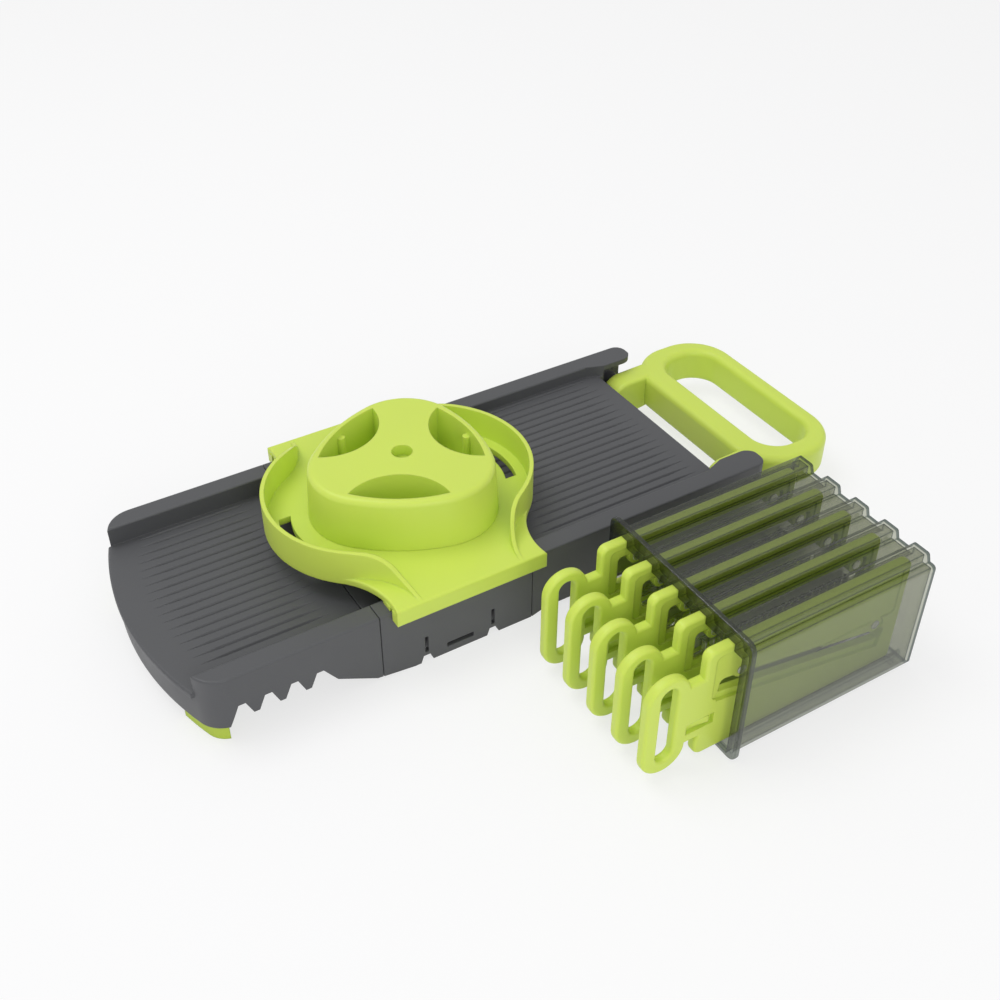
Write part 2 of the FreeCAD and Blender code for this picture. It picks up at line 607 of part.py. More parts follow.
def make_body_screws():
    """Four screws along X: two through each pair of cross walls."""
    body = new_body("body_screws")
    joints = [("(0 - joint_tongue / 2 - joint_wall)", "(joint_tongue / 2 + screw_tip)"),
              (f"({FRAME_END} - seam_gap / 2 - joint_wall)",
               f"({FRAME_END} + seam_gap / 2 + joint_wall + screw_tip)")]
    for start, end in joints:
        shanks = [circle(f"{side} * screw_side", "screw_level", "screw_radius") for side in (1, -1)]
        heads = [circle(f"{side} * screw_side", "screw_level", "screw_head") for side in (1, -1)]
        grow(body, "YZ", start, end, *shanks)
        grow(body, "YZ", f"{start} - screw_head_high", start, *heads)
    return body


# Fold handle.

def lug_profile():
    """A lug seen from the side: half-round about the hinge, straight into the loop."""
    root = f"{HINGE_X} + lug_reach"
    turn = left("lug_radius")
    return [
        (root, "loop_low", None), (root, "loop_high", None), (HINGE_X, "hinge_level + lug_radius", turn),
        (f"{HINGE_X} - lug_radius", "hinge_level", turn), (HINGE_X, "hinge_level - lug_radius", None),
    ]


def make_fold_handle():
    body = new_body("fold_handle")
    front = f"({HINGE_X} + loop_gap)"
    end = f"({front} + loop_length)"
    grow(body, "XY", "loop_low", "loop_high",
         round_box(front, end, "0 - loop_half", "loop_half", "loop_radius"))
    carve(body, "XY", "loop_low", "loop_high",
          round_box(f"({front} + bar_front)", f"({end} - bar_back)",
                    "0 - grip_half", "grip_half", "grip_radius"))
    round_edges(body, "loop_round",
                lambda edge: flat_at(edge, "Z", "loop_low") or flat_at(edge, "Z", "loop_high"))
    for side in ("+", "-"):
        grow(body, "XZ", *sorted_span(side, "lug_inner", "lug_outer"), lug_profile())
    round_edges(body, "lug_round",
                lambda edge: edge.BoundBox.XMin < number(f"{front} - {BITE}") and lug_face_edge(edge))
    for side in ("+", "-"):
        carve(body, "XZ", *sorted_span(side, "lug_outer - pin_bite", f"lug_outer + {BITE}"),
              circle(HINGE_X, "hinge_level", "pin_radius + pin_clear"))
    return body


def lug_face_edge(edge):
    """True for an edge that lies in a lug's inner or outer face."""
    places = ("lug_inner", "lug_outer", "0 - lug_inner", "0 - lug_outer")
    return any(flat_at(edge, "Y", place) for place in places)


def make_handle_pins():
    body = new_body("handle_pivot_pins")
    for side in ("+", "-"):
        grow(body, "XZ", *sorted_span(side, "lug_outer - pin_bite + pin_sink", "rail_half - pin_sink"),
             circle(HINGE_X, "hinge_level", "pin_radius"))
    return body


# Food holder and pusher.

def curl(neck, end_y, radius_change, bulge_change):
    """Radius, end and touching point of a side that swings out of the bulge and runs to end_y."""
    span = f"({neck} - bulge_offset)"
    base = f"(({span}^2 + {end_y}^2 - bulge_radius^2) / (2 * (bulge_radius - {span})))"
    bulge = f"(bulge_radius + {bulge_change})"
    touch_x = f"(bulge_offset + {bulge} * ({span} + {base}) / (bulge_radius + {base}))"
    touch_y = f"({bulge} * {end_y} / (bulge_radius + {base}))"
    return f"({base} + {radius_change})", bulge, touch_x, touch_y


def holder_plan():
    neck_y = f"({HOLDER_HALF} - neck_inset)"
    swing, bulge, touch_x, touch_y = curl("neck_half", neck_y, "0", "0")
    end_x = f"(neck_half + {swing} - sqrt({swing}^2 - neck_inset^2))"
    quarter = [(end_x, HOLDER_HALF, None), (touch_x, touch_y, None)]
    bends = [None, right(swing), left(bulge), right(swing)] * 2
    signs = [(-1, -1, 0), (1, -1, 0), (1, -1, 1), (1, 1, 1), (1, 1, 0), (-1, 1, 0), (-1, 1, 1), (-1, -1, 1)]
    return [(f"{HOLDER_X} + {sx} * {quarter[at][0]}", f"{sy} * {quarter[at][1]}", bend)
            for (sx, sy, at), bend in zip(signs, bends)], end_x


def wall_plan(side):
    """One S-curved wall: the bulge with both its ends swung out to the flanges."""
    end_y = f"({HOLDER_HALF} - wall_inset)"
    out_swing, out_bulge, out_x, out_y = curl("wall_end_half", end_y, "0", "0")
    in_swing, in_bulge, in_x, in_y = curl("wall_end_half", end_y, "wall_thick", "(0 - wall_thick)")
    bend, back = (left, right) if side > 0 else (right, left)
    inner_end = "(wall_end_half - wall_thick)"
    corners = [
        ("wall_end_half", f"0 - {end_y}", back(out_swing)), (out_x, f"0 - {out_y}", bend(out_bulge)),
        (out_x, out_y, back(out_swing)), ("wall_end_half", end_y, None),
        (inner_end, end_y, bend(in_swing)), (in_x, in_y, back(in_bulge)),
        (in_x, f"0 - {in_y}", bend(in_swing)), (inner_end, f"0 - {end_y}", None),
    ]
    return [(f"{HOLDER_X} + {side} * {x}", y, turn) for x, y, turn in corners]


def rim_slope(side):
    """What is cut from the walls above their falling ends, seen along X."""
    end = f"({HOLDER_HALF} - wall_inset / 2)"
    run = f"(({end} - slope_start) / 2)"
    drop = "(rim_high / 2)"
    radius = f"({run}^2 + {drop}^2) / (2 * {drop})"
    top = f"({PLATE_TOP} + rim_high)"
    bend, back = (left, right) if side > 0 else (right, left)
    corners = [
        ("slope_start", top, back(radius)), (f"slope_start + {run}", f"{top} - {drop}", bend(radius)),
        (end, PLATE_TOP, None), (f"{end} + {BEYOND}", PLATE_TOP, None),
        (f"{end} + {BEYOND}", f"{top} + rim_overshoot", None),
        ("slope_start", f"{top} + rim_overshoot", None),
    ]
    return [(f"{side} * ({y})", z, turn) for y, z, turn in corners]


def lobed(inset):
    """The three-lobed outline of the knob, moved in by inset."""
    away = "(knob_side_radius - knob_side)"
    gap = "(knob_side_radius - knob_lobe_radius)"
    reach = f"((sqrt(4 * {gap}^2 - 3 * {away}^2) - {away}) / 2)"
    lobe = f"(knob_lobe_radius - ({inset}))"
    path = []
    for angle in LOBE_ANGLES:
        for turn, bend in ((-60, left(f"knob_side_radius - ({inset})")), (60, left(lobe))):
            along = f"(({reach} * cos({turn}) + {away}) / {gap} * {lobe} + {reach} * cos({turn}))"
            across = f"({reach} * sin({turn}) / {gap} * {lobe} + {reach} * sin({turn}))"
            path.append((*around_knob(along, across, angle), bend))
    return path


def around_knob(along, across, angle):
    """A place along and across a line that leaves the knob's axis at the angle."""
    x = f"{KNOB_X} + {along} * cos({angle}) - {across} * sin({angle})"
    y = f"{along} * sin({angle}) + {across} * cos({angle})"
    return x, y


def lens(angle):
    """One finger opening: two arcs that meet at its tips."""
    first = around_knob("lens_tip", "(0 - lens_half)", angle)
    second = around_knob("lens_tip", "lens_half", angle)
    return [(*first, left("lens_outer_radius")), (*second, left("lens_inner_radius"))]


def make_holder_base():
    body = new_body("holder_base")
    plan, end_x = holder_plan()
    x0, x1 = f"{HOLDER_X} - {end_x}", f"{HOLDER_X} + {end_x}"
    grow(body, "XY", PLATE_LOW, PLATE_TOP, plan)
    round_edges(body, "plate_round", lambda edge: flat_at(edge, "Z", PLATE_TOP))
    grow(body, "XY", f"{PLATE_LOW} - flange_drop", f"{PLATE_LOW} + {BITE}",
         *side_box(x0, x1, "rail_half + slide_clear", HOLDER_HALF))
    grow(body, "XY", "rail_top", f"{PLATE_LOW} + {BITE}",
         *side_box(x0, x1, "rail_inner + runner_margin", "rail_half - runner_margin"))
    for side in (1, -1):
        grow(body, "XY", f"{PLATE_TOP} - {BITE}", f"{PLATE_TOP} + rim_high", wall_plan(side))
    carve(body, "YZ", f"{HOLDER_X} - 2 * bulge_radius", f"{HOLDER_X} + 2 * bulge_radius",
          *both_sides(rim_slope))
    carve(body, "XY", PLATE_LOW, PLATE_TOP, lobed("plunger_inset - plunger_clear"), vent(1), vent(-1))
    return body


def vent(side):
    """A curved slot beside one wall, round the same centre as the bulge."""
    inner = "(bulge_offset + sqrt(vent_inner^2 - vent_half^2))"
    outer = "(bulge_offset + sqrt(vent_outer^2 - vent_half^2))"
    bend, back = (left, right) if side > 0 else (right, left)
    corners = [(inner, "0 - vent_half", None), (outer, "0 - vent_half", bend("vent_outer")),
               (outer, "vent_half", None), (inner, "vent_half", back("vent_inner"))]
    return [(f"{HOLDER_X} + {side} * {x}", y, turn) for x, y, turn in corners]


def make_pusher_knob():
    body = new_body("pusher_knob")
    grow(body, "XY", PLATE_TOP, KNOB_TOP, lobed("0"), draft="0 - knob_draft")
    round_edges(body, "knob_round", lambda edge: flat_at(edge, "Z", KNOB_TOP))
    grow(body, "XY", PLUNGER_LOW, f"{PLATE_TOP} + {BITE}", lobed("plunger_inset"))
    carve(body, "XY", f"{PLATE_TOP} + lens_floor", KNOB_TOP, *[lens(angle) for angle in LOBE_ANGLES])
    ribs = [circle(*around_knob("lens_rib_out", "0", angle), "lens_rib") for angle in LOBE_ANGLES]
    grow(body, "XY", f"{PLATE_TOP} + lens_floor - {BITE}", f"{KNOB_TOP} - lens_rib_drop", *ribs)
    carve(body, "XY", f"{KNOB_TOP} - knob_hole_deep", KNOB_TOP, circle(KNOB_X, "0", "knob_hole"))
    carve(body, "XY", PLUNGER_LOW, f"{PLUNGER_LOW} + core_high",
          circle(KNOB_X, "0", "core_radius"), circle(KNOB_X, "0", "core_boss"))
    hollows = [circle(*around_knob("lobe_core_out", "0", angle + 60), "lobe_core") for angle in LOBE_ANGLES]
    carve(body, "XY", PLUNGER_LOW, f"{KNOB_TOP} - lobe_core_roof", *hollows)
    carve(body, "XY", PLUNGER_LOW, f"{PLUNGER_LOW} + pusher_screw_long + {BITE}",
          circle(KNOB_X, "0", "pusher_screw + screw_clear"))
    return body


def spike_spots():
    spots = [around_knob("spike_ring", "0", angle) for angle in range(0, 360, 40)]
    return spots + [around_knob("spike_ring_inner", "0", angle) for angle in LOBE_ANGLES]


def make_spike_plate():
    body = new_body("spike_plate")
    grow(body, "XY", SPIKE_LOW, PLUNGER_LOW, lobed("plunger_inset + spike_clear"))
    holes = [circle(x, y, "spike_radius + spike_clear") for x, y in spike_spots()]
    carve(body, "XY", SPIKE_LOW, PLUNGER_LOW, circle(KNOB_X, "0", "pusher_screw + screw_clear"), *holes)
    return body


def make_food_spikes():
    body = new_body("food_spikes")
    slope = "atan((spike_radius - spike_point) / spike_reach)"
    spots = spike_spots()
    grow(body, "XY", SPIKE_LOW, PLUNGER_LOW, *[circle(x, y, "spike_radius") for x, y in spots])
    grow(body, "XY", f"{SPIKE_LOW} - spike_reach", SPIKE_LOW,
         *[circle(x, y, "spike_point") for x, y in spots], draft=slope)
    return body


def make_pusher_screw():
    body = new_body("pusher_screw")
    grow(body, "XY", SPIKE_LOW, f"{PLUNGER_LOW} + pusher_screw_long", circle(KNOB_X, "0", "pusher_screw"))
    grow(body, "XY", f"{SPIKE_LOW} - pusher_head_high", SPIKE_LOW, circle(KNOB_X, "0", "pusher_head"))
    return body


# Blade case and inserts.

def insert_plane(count):
    return f"({FIRST_INSERT} - {count} * insert_pitch)"


def ridge(count):
    """One roof ridge seen along X, with leaning flanks."""
    middle = insert_plane(count)
    crown = f"({BAY_HALF} + case_wall)"
    foot = f"({crown} + ridge_flank)"
    return [(f"{middle} - {foot}", f"{ROOF_TOP} - case_wall / 2", None),
            (f"{middle} + {foot}", f"{ROOF_TOP} - case_wall / 2", None),
            (f"{middle} + {crown}", RIDGE_TOP, None), (f"{middle} - {crown}", RIDGE_TOP, None)]


def floor_ribs():
    """Low ribs on the case's floor, one on each side of every insert."""
    ribs = []
    for count in range(INSERT_COUNT):
        for side in (1, -1):
            edge = f"({insert_plane(count)} + {side} * {BAY_HALF})"
            ribs.append(box("case_front + flange_sheet + ridge_lead", f"{CASE_IN_BACK} + case_wall / 2",
                            edge, f"{edge} + {side} * floor_rib_thick"))
    return ribs


def ridge_channel(count):
    """The room inside one roof ridge, seen along X."""
    middle = insert_plane(count)
    return box(f"{middle} - {BAY_HALF}", f"{middle} + {BAY_HALF}",
               f"{ROOF_TOP} - 2 * case_wall", f"{INSERT_TOP} + insert_clear")


def make_blade_case():
    body = new_body("blade_case")
    far = f"({FIRST_INSERT} + case_far)"
    close = f"({LAST_INSERT} - case_near)"
    sheet_middle = "case_front + flange_sheet / 2"
    grow(body, "YZ", "case_front", "case_front + flange_sheet",
         round_box(f"({LAST_INSERT} - flange_near)", f"({FIRST_INSERT} + flange_far)", "0", "flange_high",
                   "flange_corner"))
    round_edges(body, "flange_round", lambda edge: edge.BoundBox.XLength < 1e-4)
    grow(body, "YZ", sheet_middle, CASE_BACK, round_box(close, far, "case_lift", ROOF_TOP, "case_round"))
    for count in range(INSERT_COUNT):
        grow(body, "YZ", sheet_middle, CASE_BACK, ridge(count))
    round_edges(body, "ridge_round",
                lambda edge: flat_at(edge, "Z", RIDGE_TOP) and edge.BoundBox.YLength < 1e-4)
    carve(body, "YZ", "case_front", CASE_IN_BACK,
          box(f"{close} + case_wall", f"{far} - case_wall", CASE_FLOOR, f"{ROOF_TOP} - case_wall"))
    for count in range(INSERT_COUNT):
        carve(body, "YZ", "case_front", CASE_IN_BACK, ridge_channel(count))
    grow(body, "XY", f"{CASE_FLOOR} - case_wall / 2", f"{CASE_FLOOR} + floor_rib_high", *floor_ribs())
    grow(body, "XY", "0", "case_lift + case_wall / 2",
         box(f"{CASE_BACK} - case_foot_in", f"{CASE_BACK} - case_foot_in + case_foot_wide",
             f"{close} + case_foot_margin", f"{far} - case_foot_margin"))
    return body


def make_insert_frame(count):
    number_name = count + 1
    body = new_body(f"insert_frame_{number_name}", insert_plane(count))
    low, high = CASE_FLOOR, INSERT_TOP
    near_face, far_face = f"(0 - {FACE})", FACE
    ring_back = f"({SHOULDER} - ring_gap)"
    ring_front = f"({ring_back} - ring_wide)"
    ring_z = (f"({low} + ring_low)", f"({low} + ring_high)")
    grow(body, "XZ", near_face, far_face, round_box(SHOULDER, INSERT_END, low, high, "insert_corner"))
    grow(body, "XZ", near_face, far_face,
         box(f"{ring_back} - neck_overlap", f"{SHOULDER} + neck_overlap",
             f"{low} + neck_low", f"{low} + neck_high"))
    grow(body, "XZ", near_face, far_face,
         round_box(f"({SHOULDER} - toe_reach)", f"({SHOULDER} + 3 * toe_corner)",
                   low, f"({low} + toe_high)", "toe_corner"))
    grow(body, "XZ", near_face, far_face, stadium(ring_front, ring_back, *ring_z))
    carve(body, "XZ", near_face, far_face,
          stadium(f"({ring_front} + ring_bar_front)", f"({ring_back} - ring_bar_back)",
                  f"({ring_z[0]} + ring_bar_low)", f"({ring_z[1]} - ring_bar_high)"))
    soften_loop(body)
    carve_window(body, number_name)
    carve_latch(body)
    return body


def soften_loop(body):
    """Round the loop, neck and shoulder edges of both faces."""
    limit = number("case_front") + 1
    face = number(FACE)
    round_edges(body, "insert_round", lambda edge: edge.BoundBox.YLength < 1e-4
                and near(abs(edge.BoundBox.YMin), face) and edge.BoundBox.XMax < limit)


def slanted(number_name, *paths):
    """The outlines, turned down about the front rivet on the insert whose blade slants."""
    if number_name != ZIGZAG_INSERT:
        return list(paths)
    return [turned(path) for path in paths]


def turned(path):
    if path[0] == "circle":
        return circle(*turned_point(path[1], path[2]), path[3])
    return [(*turned_point(x, z), bend) for x, z, bend in path]


def turned_point(x, z):
    pivot_x, pivot_z = f"({SHOULDER} + rivet_in)", f"({CASE_FLOOR} + rivet_level)"
    along, up = f"({x} - {pivot_x})", f"({z} - {pivot_z})"
    return (f"{pivot_x} + {along} * cos(zigzag_slant) + {up} * sin(zigzag_slant)",
            f"{pivot_z} - zigzag_drop + {up} * cos(zigzag_slant) - {along} * sin(zigzag_slant)")


def window_span(number_name):
    """Low and high edge of an insert's window."""
    if number_name == ZIGZAG_INSERT:
        return f"({CASE_FLOOR} + zigzag_window_low)", f"({CASE_FLOOR} + zigzag_window_top)"
    return f"({CASE_FLOOR} + window_low)", f"({CASE_FLOOR} + window_top)"


def carve_window(body, number_name):
    low = CASE_FLOOR
    near_face, far_face = f"(0 - {FACE})", FACE
    sill, top = window_span(number_name)
    x0, x1 = f"({SHOULDER} + window_in)", f"({INSERT_END} - window_end)"
    window = round_box(x0, x1, sill, top, "window_corner")
    ledge = box(x0, x1, f"({sill} - ramp_drop)", f"({sill} + {BITE})")
    seat = box(f"({x0} - seat_end)", f"({x1} + seat_end)",
               f"({blade_low(number_name)} - blade_margin)", f"({low} + blade_high + blade_margin)")
    carve(body, "XZ", near_face, f"{near_face} + field_deep",
          round_box(f"({SHOULDER} + field_front)", f"({INSERT_END} - field_margin)",
                    f"({low} + field_low)", f"({low} + field_high)", "window_corner"))
    if number_name == ZIGZAG_INSERT:
        rear_rivet = rivet_circles(number_name, "rivet_boss")[1]
        carve(body, "XZ", near_face, f"{near_face} + field_deep", rear_rivet)
    carve(body, "XZ", near_face, far_face, *slanted(number_name, window))
    grow(body, "XZ", f"{near_face} + field_deep", far_face, *rivet_circles(number_name, "rivet_boss"))
    carve(body, "XZ", SEAT, far_face, *slanted(number_name, seat))
    carve(body, "XZ", near_face, far_face, *rivet_circles(number_name, "rivet_radius + rivet_clear"))
    carve(body, "XZ", near_face, f"{near_face} + ramp_deep", *slanted(number_name, ledge))


def carve_latch(body):
    """The near face's recess with its wedge tongue."""
    near_face = f"(0 - {FACE})"
    x0 = f"({SHOULDER} - latch_front)"
    bottom = f"{near_face} + latch_deep"
    carve(body, "XZ", near_face, bottom,
          box(x0, f"{SHOULDER} + latch_back", f"{CASE_FLOOR} + latch_low", f"{CASE_FLOOR} + latch_high"))
    root, tip = f"({x0} + tongue_gap)", f"({x0} + tongue_gap + tongue_long)"
    wedge = [(root, bottom, None), (tip, bottom, None), (tip, f"{bottom} - tongue_rise", None)]
    grow(body, "XY", f"{CASE_FLOOR} + latch_low + tongue_gap",
         f"{CASE_FLOOR} + latch_high - tongue_gap", wedge)


def blade_low(number_name):
    """Where the lower edge of an insert's blade lies, before any slant."""
    levels = {GRATER_INSERT: "window_low - seat_end", ZIGZAG_INSERT: "zigzag_low"}
    return f"({CASE_FLOOR} + {levels.get(number_name, 'blade_low')})"


def rivet_circles(number_name, radius):
    level = f"({CASE_FLOOR} + rivet_level)"
    places = (f"({SHOULDER} + rivet_in)", f"({INSERT_END} - rivet_end)")
    return slanted(number_name, *[circle(place, level, radius) for place in places])


def zigzag_edge(x0, x1, low):
    """A blade outline whose lower edge runs up and down."""
    top = f"({CASE_FLOOR} + blade_high)"
    path = [(x1, top, None), (x0, top, None), (x0, low, None)]
    teeth = int(number(f"({x1} - {x0}) / zigzag_pitch"))
    for tooth in range(1, 2 * teeth):
        height = f"({low} + zigzag_high)" if tooth % 2 else low
        path.append((f"({x0} + {tooth} * zigzag_pitch / 2)", height, None))
    path.append((x1, low, None))
    return path


def grater_holes(x0, x1):
    """Rows of round holes across the window."""
    holes = []
    columns = int(number(f"({x1} - {x0}) / grater_pitch"))
    rows = int(number("(rivet_level - rivet_head - window_low) / grater_rise"))
    for row in range(rows):
        for column in range(1, columns - row % 2):
            x = f"{x0} + ({column} + {row % 2} / 2) * grater_pitch"
            z = f"{CASE_FLOOR} + window_low + ({row} + 1 / 2) * grater_rise"
            holes.append(circle(x, z, "grater_hole"))
    return holes


def make_insert_blade(count):
    number_name = count + 1
    body = new_body(f"insert_blade_{number_name}", insert_plane(count))
    x0 = f"({SHOULDER} + window_in - seat_end + blade_margin)"
    x1 = f"({INSERT_END} - window_end + seat_end - blade_margin)"
    low = blade_low(number_name)
    outline = box(x0, x1, low, f"({CASE_FLOOR} + blade_high)")
    if number_name == ZIGZAG_INSERT:
        outline = zigzag_edge(x0, x1, low)
    grow(body, "XZ", SEAT, BLADE_OUT, *slanted(number_name, outline))
    carve(body, "XZ", SEAT, BLADE_OUT, *rivet_circles(number_name, "rivet_radius + rivet_clear"))
    if number_name == GRATER_INSERT:
        carve(body, "XZ", SEAT, BLADE_OUT, *grater_holes(x0, x1))
    return body


def make_insert_rivets(count):
    number_name = count + 1
    body = new_body(f"insert_rivets_{number_name}", insert_plane(count))
    near_face = f"(0 - {FACE} + field_deep)"
    heads = rivet_circles(number_name, "rivet_head")
    grow(body, "XZ", near_face, BLADE_OUT, *rivet_circles(number_name, "rivet_radius"))
    grow(body, "XZ", f"{near_face} - rivet_head_high", near_face, *heads)
    grow(body, "XZ", BLADE_OUT, f"{BLADE_OUT} + rivet_head_high", *heads)
    return body


def make_insert_comb(count, pitch):
    """A steel strip on the window's sill with upright fins."""
    body = new_body(f"insert_comb_{count + 1}", insert_plane(count))
    x0 = f"({SHOULDER} + window_in + window_corner)"
    x1 = f"({INSERT_END} - window_end - window_corner)"
    sill = f"({CASE_FLOOR} + window_low)"
    back = f"({SEAT} - comb_set_back)"
    grow(body, "XZ", f"{back} - comb_sheet", back, box(x0, x1, sill, f"{sill} + comb_strip"))
    fins = []
    for fin in range(1, int(number(f"({x1} - {x0}) / {pitch}"))):
        middle = f"({x0} + {fin} * {pitch})"
        fins.append(box(f"{middle} - comb_fin / 2", f"{middle} + comb_fin / 2",
                        f"{back} - comb_reach", back))
    grow(body, "XY", sill, f"{sill} + comb_fin_high", *fins)
    return body


def make_inserts():
    made = []
    for count in range(INSERT_COUNT):
        made.append(make_insert_frame(count))
        made.append(make_insert_blade(count))
        made.append(make_insert_rivets(count))
        if count + 1 in COMBS:
            made.append(make_insert_comb(count, COMBS[count + 1]))
    return made


def check_document():
    """Stop on a failed object or on a pocket that cut nothing."""
    for item in doc.Objects:
        if "Invalid" in item.State or "Error" in item.State:
            raise RuntimeError(f"{item.Label} failed: {item.State}")
        if item.TypeId == "PartDesign::Pocket":
            if item.Shape.Volume > item.BaseFeature.Shape.Volume - 1e-3:
                raise RuntimeError(f"{item.Label} cuts nothing")


def export(nodes):
    for node in nodes:
        if node.Shape.isNull() or not node.Shape.isValid():
            raise RuntimeError(f"{node.Label} has no good shape")
        node.Shape.exportStep(f"parts/{node.Label}.step")
        print(node.Label, len(node.Shape.Solids), round(node.Shape.Volume))


fill_sheet()
NODES = [
    make_front_bed(), make_blade_frame(), make_rear_bed(), make_front_feet(), make_body_screws(),
    make_fold_handle(), make_handle_pins(), make_holder_base(), make_pusher_knob(), make_spike_plate(),
    make_food_spikes(), make_pusher_screw(), make_blade_case(), *make_inserts(),
]
doc.recompute()
check_document()
export(NODES)
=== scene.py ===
"""Looks of the mandoline slicer: materials, floor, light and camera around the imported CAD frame."""

import json
import math

import bpy
from mathutils import Matrix, Vector

# Camera at the photograph's viewing angle, in metres.
CAMERA_PLACE = Vector((-0.16263, -0.43115, 0.42326))
CAMERA_AIM = Vector((0.11236, 0.01894, 0.0))
CAMERA_ROLL_DEGREES = 0.2
CAMERA_LENS_MM = 45.63
SENSOR_MM = 36.0

# Two round lamps in metres and watts, and the sky around them.
LAMP_AIM = Vector((0.1, -0.03, 0.02))
LAMP_SIZE = 0.9
KEY_PLACE = Vector((-0.35, 0.35, 1.35))
KEY_POWER = 6.5
FILL_PLACE = Vector((-0.25, -1.3, 0.75))
FILL_POWER = 4.6
SKY_STRENGTH = 0.6

# Colours, linear light.
WHITE = (1.0, 1.0, 1.0)
CHARCOAL = (0.090, 0.092, 0.098)
DARK = (0.05, 0.05, 0.053)
LIME = (0.64, 0.785, 0.115)
LIME_SOFT = (0.50, 0.64, 0.07)
SMOKE = (0.72, 0.73, 0.67)
# Painted shade: the darker tint on the smoky plastic's edges, turned-away sides and rims.
SMOKE_PAINTED_SHADE = (0.20, 0.24, 0.23)
STEEL = (0.62, 0.62, 0.63)
BLADE = (0.50, 0.50, 0.51)
FLOOR = (0.93, 0.928, 0.94)

# Paper floor just under the part, lifted towards white for the rays that show it.
FLOOR_SIZE = 8
FLOOR_DROP = 0.0002
FLOOR_ROUGHNESS = 0.9
FLOOR_SHINE = 0.1
FLOOR_LIFT = 0.7

# Range in which most of a noise field lies, and the stretch of one that is even all round.
NOISE_LOW = 0.3
NOISE_HIGH = 0.7
NO_STRETCH = (1.0, 1.0, 1.0)

# Rounded-looking edges of plastic and metal.
EDGE_SOFTNESS = 0.0008
BEVEL_SAMPLES = 6

# Moulded plastic: faint mottling, patches that shine more or less, and a fine grain.
PLASTIC_IOR = 1.46
MOTTLE_SCALE = 18
MOTTLE_DETAIL = 2
MOTTLE_AMOUNT = 0.03
PATCH_SCALE = 60
PATCH_DETAIL = 4
PATCH_CONTRAST = 0.04
GRAIN_DETAIL = 3

# Light that sinks into the lime plastic: its share, and how far its red, green and blue go.
SINK_SHARE = 0.15
SINK_REACH = (0.004, 0.005, 0.001)
SINK_SCALE = 1.0

# Ground metal: fine lines along X that colour, roughen and emboss it.
GRIND_SCALE = 700
GRIND_DETAIL = 2
GRIND_STRETCH = (0.03, 1.0, 1.0)
GRIND_MOTTLE = 0.08
GRIND_SMOOTHER = 0.06
GRIND_ROUGHER = 0.08
GRIND_DEPTH = 0.000008

# Painted shade on the edges of the smoky plastic, standing in for light lost inside them: its width,
# and how alike rounded and plain normals are there.
SMOKE_EDGE_WIDTH = 0.0011
EDGE_BEGINS = 0.99
EDGE_IS_FULL = 0.94

# Painted shade on the sides of the smoky plastic: where its surface turns away from the eye by this
# much.
TURN_BEGINS = 0.55
TURN_IS_FULL = 0.9

# Painted shade on rims at the case's rear end, its front flange and its foot, the foot's where the case
# sits in shadow near the floor: widths, blur and darkness.
REAR_RIM = 0.0016
FLANGE_RIM = 0.0027
FOOT_RIM = 0.0012
RIM_BLUR = 0.0004
FLANGE_PAINTED_SHADE = 0.48
FOOT_PAINTED_SHADE = 0.45

# Share of an axis in a normal that still faces across it, and in one that faces along it.
FACES_ACROSS = 0.6
FACES_ALONG = 0.9

# Gloss of the smoky plastic: the share of light thrown back head on and edge on, and its patches.
GLOSS_HEAD_ON = 0.07
GLOSS_EDGE_ON = 0.2
GLOSS_BEGINS = 0.4
GLOSS_IS_FULL = 1.0
GLOSS_SMOOTHEST = 0.08
GLOSS_ROUGHEST = 0.16
GLOSS_PATCH_SCALE = 40
GLOSS_PATCH_DETAIL = 3


def new_material(name):
    material = bpy.data.materials.new(name)
    material.use_nodes = True
    return material, material.node_tree


def shader_of(tree):
    return tree.nodes["Principled BSDF"]


def noise_at(tree, scale, detail, stretch=NO_STRETCH):
    """A noise field fixed to the piece, drawn out along an axis where stretch is small."""
    place = tree.nodes.new("ShaderNodeTexCoord")
    mapping = tree.nodes.new("ShaderNodeMapping")
    mapping.inputs["Scale"].default_value = stretch
    noise = tree.nodes.new("ShaderNodeTexNoise")
    noise.inputs["Scale"].default_value = scale
    noise.inputs["Detail"].default_value = detail
    tree.links.new(place.outputs["Object"], mapping.inputs["Vector"])
    tree.links.new(mapping.outputs["Vector"], noise.inputs["Vector"])
    return noise.outputs["Fac"]


def spread(tree, field, low, high, first=NOISE_LOW, last=NOISE_HIGH):
    """The field's range from first to last mapped to low..high."""
    ramp = tree.nodes.new("ShaderNodeMapRange")
    ramp.inputs["From Min"].default_value = first
    ramp.inputs["From Max"].default_value = last
    ramp.inputs["To Min"].default_value = low
    ramp.inputs["To Max"].default_value = high
    tree.links.new(field, ramp.inputs["Value"])
    return ramp.outputs["Result"]


def pick(tree, operation, first, second):
    node = tree.nodes.new("ShaderNodeMath")
    node.operation = operation
    tree.links.new(first, node.inputs[0])
    tree.links.new(second, node.inputs[1])
    return node.outputs["Value"]


def greater(tree, first, second):
    return pick(tree, "MAXIMUM", first, second)


def lesser(tree, first, second):
    return pick(tree, "MINIMUM", first, second)


def axis_of(tree, vector, axis):
    parts = tree.nodes.new("ShaderNodeSeparateXYZ")
    tree.links.new(vector, parts.inputs["Vector"])
    return parts.outputs[axis]


def facing_away(tree):
    return tree.nodes.new("ShaderNodeLayerWeight").outputs["Facing"]


def sideways(tree, share):
    """1 where the surface faces across the axis, 0 where it faces along it either way."""
    size = tree.nodes.new("ShaderNodeMath")
    size.operation = "ABSOLUTE"
    tree.links.new(share, size.inputs[0])
    return spread(tree, size.outputs["Value"], 1.0, 0.0, FACES_ACROSS, FACES_ALONG)


def blend_colours(tree, field, first, last, target):
    mix = tree.nodes.new("ShaderNodeMix")
    mix.data_type = "RGBA"
    mix.inputs["A"].default_value = (*first, 1)
    mix.inputs["B"].default_value = (*last, 1)
    tree.links.new(field, mix.inputs["Factor"])
    tree.links.new(mix.outputs["Result"], target)


